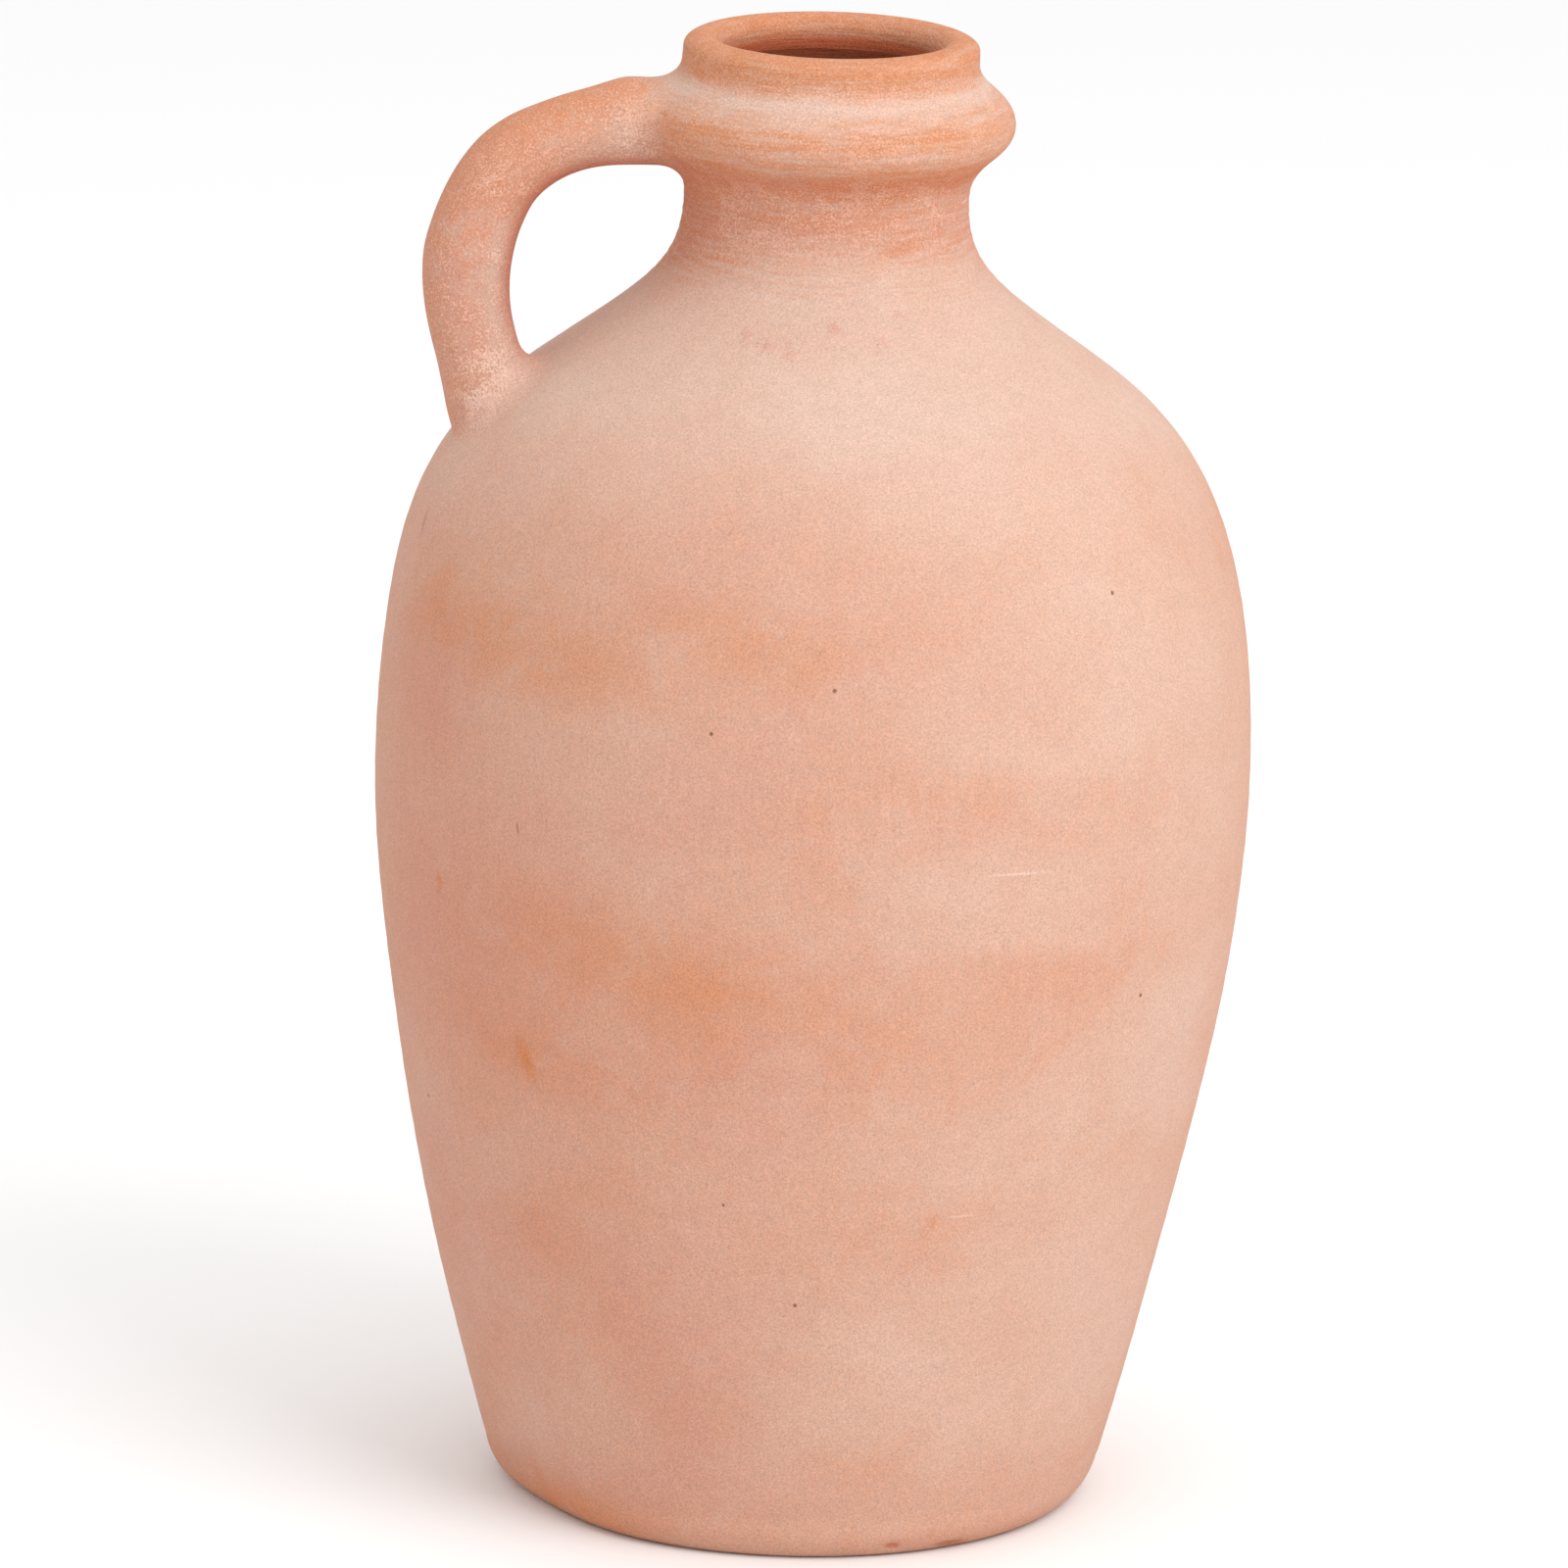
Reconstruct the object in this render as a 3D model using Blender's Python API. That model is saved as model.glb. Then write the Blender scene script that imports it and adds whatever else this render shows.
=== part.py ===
"""Terracotta jug: a floor disc, five wall sections, a neck with a collar and a lip, and one
looped handle luted on at both ends. Metres, +Z up; the origin is the centre of the
foot, on the ground, and the handle points along -X."""

import math

import bmesh
import bpy
from mathutils import Vector

# Driving dimensions. Outline points are (height, radius).
GAP = 0.0003
WALL_THICKNESS = 0.008
FLOOR_HEIGHT = 0.010
SLAB_LEDGE_HEIGHT = 0.006
SLAB_BOSS_RADIUS = 0.057
FOOT_CONTACT_RADIUS = 0.0646
FOOT_TOP = (0.0095, 0.0732)
BELLY = (0.175, 0.1042)
DOME_TURN = (0.2737, 0.0641)
NECK = (0.3118, 0.0334)
COLLAR = (0.3299, 0.0439)
LIP_BASE = (0.3442, 0.0348)
LIP_TOP_EDGE = (0.347, 0.0348)
LIP_CREST = (0.350, 0.0299)
BORE_RADIUS = 0.0254
BORE_LIP_HEIGHT = 0.345
INNER_FLOOR_FILLET_TOP = 0.022

# The outline's curves are Beziers: between its end points, each is pulled towards two more.
SIDE_PULLS = ((0.020, 0.0763), (0.117, BELLY[1]))
SHOULDER_PULLS = ((0.2440, BELLY[1]), (0.2595, 0.0838))
THROAT_PULLS = ((0.2902, 0.0411), (0.2955, NECK[1]))
UNDER_COLLAR_PULLS = ((0.3222, NECK[1]), (0.3227, COLLAR[1]))
OVER_COLLAR_PULLS = ((0.3367, COLLAR[1]), (0.3382, LIP_BASE[1]))

# The joints between wall sections are half laps of this height.
WALL_JOINTS = (0.080, 0.155, 0.215, 0.252, 0.285)
WALL_NAMES = ("belly_wall", "upper_belly_wall", "shoulder_wall", "shoulder_dome")
LAP = 0.004
OUTER_WALL_START = 0.020
INNER_WALL_START = 0.035
NECK_SEAT_HEIGHT = 0.316
NECK_SEAT_RADIUS = 0.031
COLLAR_TOP_HEIGHT = 0.338
NECK_TOP_HEIGHT = 0.342

# The handle's centre line, as (distance from the axis, height), and its section.
HANDLE_CROWN = ((0.030, 0.3285), (0.048, 0.3303), (0.0843, 0.331), (0.0843, 0.289))
HANDLE_DROP = ((0.0843, 0.289), (0.0843, 0.2775), (0.0805, 0.2675), (0.075, 0.252))
HANDLE_HALF_THICKNESS = 0.01025
HANDLE_HALF_WIDTH = 0.011
LUTING_ROOT = 0.0032
LUTING_EDGE = 0.0014
UPPER_LUTING_SPAN = (0.0, 0.27)
LOWER_LUTING_SPAN = (0.83, 1.0)
ENVELOPE_BOTTOM = 0.225
ENVELOPE_TOP = 0.352

# How finely each curve is divided.
SEGMENTS = 48
HANDLE_SIDES = 16
HANDLE_STATIONS = 30
CURVE_STEPS = 24
CORNER_STEPS = 4
WALL_STEPS = 4
THROAT_STEPS = 7
BORE_STEPS = 6
COLLAR_STEPS = 10
SHARP_ANGLE = math.radians(35)
MERGE_DISTANCE = 3e-6
ROUNDING = 3e-7


def bezier(start, start_handle, end_handle, end, steps=CURVE_STEPS):
    """Points of a cubic Bezier curve, both ends included."""
    points = []
    for step in range(steps + 1):
        t = step / steps
        s = 1 - t
        weights = (s**3, 3 * s * s * t, 3 * s * t * t, t**3)
        knots = (start, start_handle, end_handle, end)
        points.append(tuple(sum(w * k[axis] for w, k in zip(weights, knots)) for axis in (0, 1)))
    return points


def quarter(centre, half_height, half_width, start, end, steps=CORNER_STEPS):
    """Points of an elliptical arc from angle start to angle end, 0 pointing outwards."""
    points = []
    for step in range(steps + 1):
        angle = start + (end - start) * step / steps
        height = centre[0] + half_height * math.sin(angle)
        points.append((height, centre[1] + half_width * math.cos(angle)))
    return points


def wall_outline():
    """The outer side from the foot's corner to the neck's narrowest height."""
    side = bezier(FOOT_TOP, *SIDE_PULLS, BELLY)
    shoulder = bezier(BELLY, *SHOULDER_PULLS, DOME_TURN)
    throat = bezier(DOME_TURN, *THROAT_PULLS, NECK)
    return side + shoulder[1:] + throat[1:]


def collar_outline():
    """The outer side from the neck over the collar's bead to the lip's base."""
    under = bezier(NECK, *UNDER_COLLAR_PULLS, COLLAR)
    over = bezier(COLLAR, *OVER_COLLAR_PULLS, LIP_BASE)
    return under + over[1:]


def foot_outline():
    """The rounded corner between the underside and the wall."""
    centre = (FOOT_TOP[0], FOOT_CONTACT_RADIUS)
    return quarter(centre, FOOT_TOP[0], FOOT_TOP[1] - FOOT_CONTACT_RADIUS, -math.pi / 2, 0)


def moved_along_normal(outline, distance):
    """The outline moved outwards by distance, square to itself."""
    moved = []
    for index, (height, radius) in enumerate(outline):
        before = outline[max(index - 1, 0)]
        after = outline[min(index + 1, len(outline) - 1)]
        rise = after[0] - before[0]
        run = after[1] - before[1]
        length = math.hypot(rise, run)
        moved.append((height - distance * run / length, radius + distance * rise / length))
    return moved


OUTER = foot_outline() + wall_outline()[1:] + collar_outline()[1:]
INNER = moved_along_normal(wall_outline(), -WALL_THICKNESS)


def radius_at(outline, height):
    """The outline's radius at a height, between its two nearest points."""
    for low, high in zip(outline, outline[1:]):
        if low[0] <= height <= high[0]:
            share = (height - low[0]) / (high[0] - low[0])
            return low[1] + share * (high[1] - low[1])
    return outline[-1][1] if height > outline[-1][0] else outline[0][1]


def stretch(outline, low, high, steps):
    """Evenly spaced points of the outline from height low up to height high."""
    heights = [low + (high - low) * step / steps for step in range(steps + 1)]
    return [(height, radius_at(outline, height)) for height in heights]


def clay_material(name, color, roughness):
    material = bpy.data.materials.new(name)
    material.use_nodes = True
    shader = material.node_tree.nodes["Principled BSDF"]
    shader.inputs["Base Color"].default_value = (*color, 1)
    shader.inputs["Roughness"].default_value = roughness
    shader.inputs["Metallic"].default_value = 0
    material.diffuse_color = (*color, 1)
    return material


def add_object(name, bm, material=None):
    """Turn a finished bmesh into a smooth-shaded object."""
    bmesh.ops.recalc_face_normals(bm, faces=bm.faces)
    mesh = bpy.data.meshes.new(name)
    bm.to_mesh(mesh)
    bm.free()
    mesh.shade_smooth()
    mesh.set_sharp_from_angle(angle=SHARP_ANGLE)
    part = bpy.data.objects.new(name, mesh)
    bpy.context.collection.objects.link(part)
    if material is not None:
        mesh.materials.append(material)
    return part


def turned(name, section, material=None):
    """Spin a section, a loop of (height, radius) points, round the Z axis."""
    bm = bmesh.new()
    corners = [bm.verts.new((radius, 0, height)) for height, radius in section]
    edges = [bm.edges.new(pair) for pair in zip(corners, corners[1:])]
    if section[0][1] > 0:
        edges.append(bm.edges.new((corners[-1], corners[0])))
    bmesh.ops.spin(
        bm,
        geom=corners + edges,
        cent=(0, 0, 0),
        axis=(0, 0, 1),
        angle=2 * math.pi,
        steps=SEGMENTS,
        use_merge=True,
    )
    bmesh.ops.remove_doubles(bm, verts=bm.verts, dist=MERGE_DISTANCE)
    return add_object(name, bm, material)


def lap_radius(height):
    """Half way through the wall, where a lap joint steps."""
    return (radius_at(OUTER, height) + radius_at(INNER, height)) / 2


def top_lap(height):
    """A section's top edge: a low outer half, then a high inner half."""
    middle = lap_radius(height)
    return [(height + LAP / 2, middle), (height - LAP / 2, middle)]


def bottom_lap(height):
    """The next section's bottom edge, which fits over the top edge below it."""
    middle = lap_radius(height) + GAP
    return [(height - LAP / 2 + GAP, middle), (height + LAP / 2 + GAP, middle)]


def wall_section(name, low, high, material):
    """A ring of wall between two lap joints."""
    outer = stretch(OUTER, low - LAP / 2 + GAP, high - LAP / 2, WALL_STEPS)
    inner = stretch(INNER, low + LAP / 2 + GAP, high + LAP / 2, WALL_STEPS)
    return turned(name, outer[::-1] + bottom_lap(low) + inner + top_lap(high), material)


def base_slab(material):
    corner = stretch(foot_outline(), 0, SLAB_LEDGE_HEIGHT, CORNER_STEPS)
    section = [(FLOOR_HEIGHT, 0), (FLOOR_HEIGHT, SLAB_BOSS_RADIUS)]
    section.append((SLAB_LEDGE_HEIGHT, SLAB_BOSS_RADIUS))
    return turned("base_slab", section + corner[::-1] + [(0, 0)], material)


def lower_wall(material):
    """The first wall section: it stands on the slab's ledge and is filleted into the floor."""
    joint = WALL_JOINTS[0]
    ledge = SLAB_LEDGE_HEIGHT + GAP
    boss = SLAB_BOSS_RADIUS + GAP
    corner = stretch(OUTER, ledge, FOOT_TOP[0], CORNER_STEPS // 2)
    outer = corner + stretch(OUTER, OUTER_WALL_START, joint - LAP / 2, WALL_STEPS)
    fillet_top = INNER_FLOOR_FILLET_TOP
    reach = radius_at(INNER, fillet_top) - boss
    fillet = quarter((fillet_top, boss), fillet_top - FLOOR_HEIGHT, reach, -math.pi / 2, 0)
    inner = stretch(INNER, INNER_WALL_START, joint + LAP / 2, WALL_STEPS)
    section = outer[::-1] + [(ledge, boss)] + fillet + inner + top_lap(joint)
    return turned("lower_wall", section, material)


def neck_tube(material):
    """The throat and the straight tube inside the collar."""
    joint = WALL_JOINTS[-1]
    outer = stretch(OUTER, joint - LAP / 2 + GAP, NECK_SEAT_HEIGHT, THROAT_STEPS)
    inner = stretch(INNER, joint + LAP / 2 + GAP, NECK[0], BORE_STEPS)
    top = [(NECK_TOP_HEIGHT, BORE_RADIUS), (NECK_TOP_HEIGHT, NECK_SEAT_RADIUS)]
    seat = [(NECK_SEAT_HEIGHT, NECK_SEAT_RADIUS)]
    section = outer[::-1] + bottom_lap(joint) + inner + top + seat
    return turned("neck_tube", section, material)


def collar_ring(material):
    bottom = NECK_SEAT_HEIGHT + GAP
    bore = NECK_SEAT_RADIUS + GAP
    outer = stretch(OUTER, bottom, COLLAR_TOP_HEIGHT, COLLAR_STEPS)
    section = outer[::-1] + [(bottom, bore), (COLLAR_TOP_HEIGHT, bore)]
    return turned("collar_ring", section, material)


def lip_ring(material):
    """The rim, stepped to sit on the collar and on the neck tube's end."""
    bottom = COLLAR_TOP_HEIGHT + GAP
    step = NECK_TOP_HEIGHT + GAP
    bore = NECK_SEAT_RADIUS + GAP
    foot = stretch(OUTER, bottom, LIP_BASE[0], CORNER_STEPS)
    width = LIP_TOP_EDGE[1] - LIP_CREST[1]
    height = LIP_CREST[0] - LIP_TOP_EDGE[0]
    outside = quarter((LIP_TOP_EDGE[0], LIP_CREST[1]), height, width, 0, math.pi / 2)
    inner_width = LIP_CREST[1] - BORE_RADIUS
    inner_height = LIP_CREST[0] - BORE_LIP_HEIGHT
    inner_centre = (BORE_LIP_HEIGHT, LIP_CREST[1])
    inside = quarter(inner_centre, inner_height, inner_width, math.pi / 2, math.pi)
    rim = foot + outside + inside[1:]
    section = rim[::-1] + [(bottom, bore), (step, bore), (step, BORE_RADIUS)]
    return turned("lip_ring", section, material)


def handle_path():
    """The handle's centre line in the XZ plane, evenly divided by length."""
    line = bezier(*HANDLE_CROWN) + bezier(*HANDLE_DROP)[1:]
    line = [Vector((-distance, 0, height)) for distance, height in line]
    lengths = [0.0]
    for before, after in zip(line, line[1:]):
        lengths.append(lengths[-1] + (after - before).length)
    path = []
    for station in range(HANDLE_STATIONS + 1):
        target = lengths[-1] * station / HANDLE_STATIONS
        index = next(i for i, length in enumerate(lengths[1:]) if target <= length + ROUNDING)
        share = (target - lengths[index]) / (lengths[index + 1] - lengths[index])
        path.append(line[index].lerp(line[index + 1], share))
    return path


def swept(name, grow, span=(0.0, 1.0), material=None):
    """Sweep the handle's oval along part of its path, grown by grow(share of the path)."""
    path = handle_path()
    first = round(span[0] * HANDLE_STATIONS)
    last = round(span[1] * HANDLE_STATIONS)
    bm = bmesh.new()
    rings = []
    for station in range(first, last + 1):
        before = path[max(station - 1, 0)]
        after = path[min(station + 1, HANDLE_STATIONS)]
        tangent = (after - before).normalized()
        across = Vector((0, 1, 0))
        outward = tangent.cross(across)
        extra = grow(station / HANDLE_STATIONS)
        ring = []
        for side in range(HANDLE_SIDES):
            angle = 2 * math.pi * side / HANDLE_SIDES
            offset = outward * (HANDLE_HALF_THICKNESS + extra) * math.cos(angle)
            offset += across * (HANDLE_HALF_WIDTH + extra) * math.sin(angle)
            ring.append(bm.verts.new(path[station] + offset))
        rings.append(ring)
    for ring, following in zip(rings, rings[1:]):
        for side in range(HANDLE_SIDES):
            after = (side + 1) % HANDLE_SIDES
            bm.faces.new((ring[side], ring[after], following[after], following[side]))
    bm.faces.new(rings[0])
    bm.faces.new(rings[-1])
    return add_object(name, bm, material)


def as_cutter(part):
    part.hide_render = True
    part.display_type = "WIRE"
    return part


def cut(part, cutter):
    modifier = part.modifiers.new("cut_by_" + cutter.name, "BOOLEAN")
    modifier.operation = "DIFFERENCE"
    modifier.solver = "EXACT"
    modifier.object = cutter


def vessel_envelope():
    """The upper vessel as a solid, a gap larger all round: the handle's ends are cut by it."""
    skin = moved_along_normal(wall_outline() + collar_outline()[1:], GAP)
    skin = [point for point in skin if point[0] > ENVELOPE_BOTTOM]
    bottom = (ENVELOPE_BOTTOM, radius_at(OUTER, ENVELOPE_BOTTOM))
    top = (ENVELOPE_TOP, skin[-1][1])
    section = [(ENVELOPE_TOP, 0), top] + skin[::-1] + [bottom, (ENVELOPE_BOTTOM, 0)]
    return as_cutter(turned("vessel_envelope", section))


def luting_growth(root_share, edge_share):
    """How far a luting stands off the handle: thick at the vessel, thin at its own edge."""

    def grow(share):
        depth = (share - edge_share) / (root_share - edge_share)
        return GAP + LUTING_EDGE + (LUTING_ROOT - LUTING_EDGE) * depth

    return grow


def handle_parts(clay, luting_clay):
    envelope = vessel_envelope()
    clearance = as_cutter(swept("handle_clearance", lambda share: GAP))
    handle = swept("handle", lambda share: 0, material=clay)
    cut(handle, envelope)
    upper_growth = luting_growth(*UPPER_LUTING_SPAN)
    lower_growth = luting_growth(*LOWER_LUTING_SPAN[::-1])
    upper = swept("handle_upper_luting", upper_growth, UPPER_LUTING_SPAN, luting_clay)
    lower = swept("handle_lower_luting", lower_growth, LOWER_LUTING_SPAN, luting_clay)
    for luting in (upper, lower):
        cut(luting, clearance)
        cut(luting, envelope)


def main():
    for old in list(bpy.data.objects):
        bpy.data.objects.remove(old)
    body_clay = clay_material("body_clay", (0.72, 0.43, 0.32), 0.92)
    rim_clay = clay_material("rim_clay", (0.68, 0.33, 0.20), 0.90)
    handle_clay = clay_material("handle_clay", (0.68, 0.35, 0.24), 0.92)
    luting_clay = clay_material("luting_clay", (0.76, 0.53, 0.42), 0.95)
    base_slab(body_clay)
    lower_wall(body_clay)
    for name, low, high in zip(WALL_NAMES, WALL_JOINTS, WALL_JOINTS[1:]):
        wall_section(name, low, high, body_clay)
    neck_tube(body_clay)
    collar_ring(rim_clay)
    lip_ring(rim_clay)
    handle_parts(handle_clay, luting_clay)


main()
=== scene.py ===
"""The looks of a terracotta jug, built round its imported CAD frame.

Every wall section, the collar, the lip and the handle get a fine mesh of their own, which meets
its neighbours edge to edge, so the jug reads as one fired body. Metres, +Z up, handle at -X."""

import math

import bpy
import numpy as np
from mathutils import Matrix, Vector


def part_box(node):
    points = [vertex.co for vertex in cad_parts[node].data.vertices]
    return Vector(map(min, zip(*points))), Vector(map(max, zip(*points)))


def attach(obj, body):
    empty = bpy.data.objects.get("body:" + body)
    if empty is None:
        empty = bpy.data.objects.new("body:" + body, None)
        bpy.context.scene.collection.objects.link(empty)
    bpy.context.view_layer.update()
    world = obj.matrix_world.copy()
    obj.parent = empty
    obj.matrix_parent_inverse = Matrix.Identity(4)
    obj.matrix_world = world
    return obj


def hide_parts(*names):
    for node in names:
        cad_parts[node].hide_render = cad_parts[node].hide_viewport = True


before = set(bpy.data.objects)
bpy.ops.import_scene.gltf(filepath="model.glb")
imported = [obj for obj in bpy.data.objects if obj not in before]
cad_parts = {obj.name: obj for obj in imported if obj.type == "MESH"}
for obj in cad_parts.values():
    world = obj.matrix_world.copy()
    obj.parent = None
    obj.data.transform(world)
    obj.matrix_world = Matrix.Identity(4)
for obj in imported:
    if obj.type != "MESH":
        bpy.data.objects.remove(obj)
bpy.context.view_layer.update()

# The jug's outline, close inside the CAD's. Points are (height, radius).
FOOT_CONTACT_RADIUS = 0.0646
FOOT_TOP = (0.0095, 0.0732)
BELLY = (0.175, 0.1034)
DOME_TURN = (0.2737, 0.0641)
NECK = (0.3118, 0.0334)
COLLAR = (0.3299, 0.0438)
LIP_BASE = (0.3442, 0.0348)
LIP_TOP_EDGE = (0.347, 0.0347)
LIP_CREST = (0.3499, 0.0299)
BORE_RADIUS = 0.0254
BORE_LIP_HEIGHT = 0.345
WALL_THICKNESS = 0.008
FLOOR_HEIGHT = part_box("base_slab")[1].z
SLAB_BOSS_RADIUS = 0.057
INNER_FLOOR_FILLET_TOP = 0.022
NECK_SEAT_RADIUS = 0.031

# Where one piece's mesh ends and the next begins.
SLAB_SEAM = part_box("lower_wall")[0].z
WALL_NAMES = ("belly_wall", "upper_belly_wall", "shoulder_wall", "shoulder_dome")
WALL_SEAMS = [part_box("lower_wall")[1].z] + [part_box(name)[1].z for name in WALL_NAMES]
COLLAR_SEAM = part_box("collar_ring")[0].z
LIP_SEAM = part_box("lip_ring")[0].z
NECK_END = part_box("neck_tube")[1].z

# The handle's centre line, as (distance from the axis, height), and its oval section.
HANDLE_CROWN = ((0.030, 0.3285), (0.048, 0.3303), (0.0843, 0.331), (0.0843, 0.289))
HANDLE_DROP = ((0.0843, 0.289), (0.0843, 0.2775), (0.0805, 0.2675), (0.075, 0.252))
HANDLE_HALF_WIDTH = 0.011
HANDLE_THICKNESS = 0.0205
# Its half thickness in mm at each share of its length, outside the loop and inside it.
HANDLE_OUTSIDE = (
    (0.0, 10.25), (0.10, 10.3), (0.15, 10.5), (0.175, 9.9), (0.20, 9.3), (0.25, 8.85), (0.30, 8.9),
    (0.35, 9.5), (0.40, 9.9), (0.45, 9.85), (0.50, 9.85), (0.55, 10.1), (0.60, 10.5), (0.65, 10.2),
    (0.70, 9.6), (0.75, 9.0), (0.80, 8.65), (0.85, 8.95), (0.90, 9.6), (1.0, 10.1),
)
HANDLE_INSIDE = (
    (0.0, 10.25), (0.12, 10.1), (0.25, 9.4), (0.35, 9.4), (0.42, 9.6), (0.48, 10.1), (0.55, 10.3),
    (0.65, 10.3), (0.72, 10.5), (0.80, 10.9), (1.0, 11.0),
)
HANDLE_ANGLE = math.pi

# How far the clay luted on at the handle's ends runs out: outside the loop, inside it, and what
# the flanks have on top of that.
UPPER_RUN_ON_HANDLE = (0.0050, 0.0050, 0.0020)
UPPER_RUN_ON_WALL = (0.0040, 0.0045, 0.0035)
LOWER_RUN = (0.0008, 0.0088, 0.0040)
# Its edge lies this deep in the wall, its hidden root lies deeper, and the hidden ring round an
# end cap has this share of the size of the one before it.
LUTING_EDGE_SINK = 0.00003
LUTING_ROOT_DEPTH = 0.0015
END_CAP_SHARE = 0.25

# Mesh fineness.
CURVE_STEPS = 160
HANDLE_STATIONS = 400
AROUND = 600
OUTER_ROW = 0.001
INNER_ROW = 0.004
HANDLE_AROUND = 144
HANDLE_ROWS = 260
FILLET_ROWS = 22
SHARP_BEND = math.radians(25)
# The floor disc's mesh ends this far from the axis, which leaves a small round hole.
SLAB_CENTRE_RADIUS = 0.004

# Painted shade on the hidden inside rows of the body and the neck, between 0 for none and 1.
BODY_INSIDE_SHADE = 0.45
NECK_INSIDE_SHADE = 0.95

# The camera, found from the jug's own shape in perspective.
FRONT = math.radians(-96)
CAMERA_DISTANCE = 3.204
CAMERA_HEIGHT = 0.9455
CAMERA_ROLL = 0.0281
CAMERA_LENS = 320.0
AIM_SIDEWAYS = -0.0061
AIM_HEIGHT = 0.1698
SENSOR_WIDTH = 36

# The studio. Each soft box has degrees round from the front, degrees up, distance, size, watts.
SOFTBOXES = (("key_softbox", 44, 38, 2.4, 1.6, 29), ("top_softbox", 10, 82, 2.2, 1.6, 6))
LIT_HEIGHT = 0.18
AMBIENT_STRENGTH = 0.95
FLOOR_SIZE = 24
FLOOR_LEVEL = -0.0001
FLOOR_WHITE = (0.92, 0.92, 0.92, 1)


def bezier(points):
    """Points of a cubic Bezier curve, both ends included, as an array."""
    t = np.linspace(0, 1, CURVE_STEPS + 1)[:, None]
    a, b, c, d = (np.array(p, float) for p in points)
    return (1 - t) ** 3 * a + 3 * (1 - t) ** 2 * t * b + 3 * (1 - t) * t * t * c + t**3 * d


def arc(centre, half_height, half_width, start, end, steps):
    """Points of an elliptical arc from angle start to angle end, 0 pointing outwards."""
    angle = np.linspace(start, end, steps + 1)
    heights = centre[0] + half_height * np.sin(angle)
    return np.stack([heights, centre[1] + half_width * np.cos(angle)], 1)


def wall_outline():
    side = bezier((FOOT_TOP, (0.020, 0.0763), (0.117, BELLY[1]), BELLY))
    shoulder = bezier((BELLY, (0.2440, BELLY[1]), (0.2595, 0.0838), DOME_TURN))
    throat = bezier((DOME_TURN, (0.2902, 0.0411), (0.2955, NECK[1]), NECK))
    return np.concatenate([side, shoulder[1:], throat[1:]])


def collar_outline():
    under = bezier((NECK, (0.3222, NECK[1]), (0.3227, COLLAR[1]), COLLAR))
    over = bezier((COLLAR, (0.3367, COLLAR[1]), (0.3382, LIP_BASE[1]), LIP_BASE))
    return np.concatenate([under, over[1:]])


def foot_outline(steps):
    centre = (FOOT_TOP[0], FOOT_CONTACT_RADIUS)
    width = FOOT_TOP[1] - FOOT_CONTACT_RADIUS
    return arc(centre, FOOT_TOP[0], width, -math.pi / 2, 0, steps)


def moved_along_normal(outline, distance):
    slope = np.gradient(outline, axis=0)
    length = np.hypot(slope[:, 0], slope[:, 1])
    normal = np.stack([-slope[:, 1], slope[:, 0]], 1) / length[:, None]
    return outline + distance * normal


OUTER = np.concatenate([foot_outline(60), wall_outline()[1:], collar_outline()[1:]])
INNER = moved_along_normal(wall_outline(), -WALL_THICKNESS)


def outer_radius(height):
    return np.interp(height, OUTER[:, 0], OUTER[:, 1])


def inner_radius(height):
    return np.interp(height, INNER[:, 0], INNER[:, 1])


def turn(angle, towards):
    """The signed angle from towards to angle, within half a turn."""
    return (np.asarray(angle) - towards + math.pi) % (2 * math.pi) - math.pi


def smooth(x, low, high):
    """0 below low, 1 above high, smooth between; low may be the larger."""
    t = np.clip((x - low) / (high - low), 0, 1)
    return t * t * (3 - 2 * t)


def bell(distance, width):
    return np.exp(-((distance / width) ** 2))


def eased(x, table):
    """Reads a short table of (place, value) pairs with a smooth slope through every step."""
    places = np.array([place for place, _ in table])
    values = np.array([value for _, value in table])
    x = np.clip(x, places[0], places[-1])
    index = np.clip(np.searchsorted(places, x, "right") - 1, 0, len(table) - 2)
    slopes = np.gradient(values, places)
    width = places[index + 1] - places[index]
    t = (x - places[index]) / width
    keep = (1 + 2 * t) * (1 - t) ** 2 * values[index] + t * t * (3 - 2 * t) * values[index + 1]
    lean = t * (1 - t) ** 2 * slopes[index] + t * t * (t - 1) * slopes[index + 1]
    return keep + width * lean


# How far the hand-thrown wall leans off the axis towards +X, in mm, at each height in metres.
SWAY = (
    (0.0, 0.3), (0.03, 0.0), (0.06, -0.4), (0.09, -0.15), (0.12, 0.4), (0.16, 0.45), (0.19, 0.6),
    (0.23, 0.5), (0.27, 0.15), (0.30, -0.1), (0.32, 0.0), (0.335, 0.0), (0.35, 0.3),
)


def sway(height):
    return 0.001 * eased(height, SWAY)


def foot_warp(angle, height):
    """The foot's corner as it was trimmed by hand: sharp at the front, worn off at the left."""
    side = turn(angle, FRONT)
    below = np.clip(1 - height / FOOT_TOP[0], 0, 1)
    undercut = (FOOT_TOP[1] - FOOT_CONTACT_RADIUS) * (1 - np.sqrt(1 - below**2))
    front = 0.34 * undercut * bell(side, 0.95)
    worn_from = 0.010 + 0.012 * bell(side + 0.95, 0.35)
    left = bell(side + 1.05, 0.35) * 0.0026 * smooth(height / worn_from, 1.0, 0.35)
    right = bell(side - 1.30, 0.45) * 0.0010 * smooth(height, 0.012, 0.004)
    return front - left - right


# The spiral ridges of throwing: half depth, rise per turn, which way they wind, and phase.
BODY_RIDGES = ((0.000022, 0.0093, 1, 0.0), (0.000014, 0.0057, -1, 1.3))
THROAT_RIDGES = ((0.00003, 0.0021, 1, 0.0), (0.00004, 0.0034, 1, 0.7))


def ridges(angle, height, waves):
    total = 0
    for half_depth, rise, way, phase in waves:
        turns = height / rise + way * angle / (2 * math.pi)
        total = total + half_depth * np.sin(2 * math.pi * turns + phase)
    return total


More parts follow.
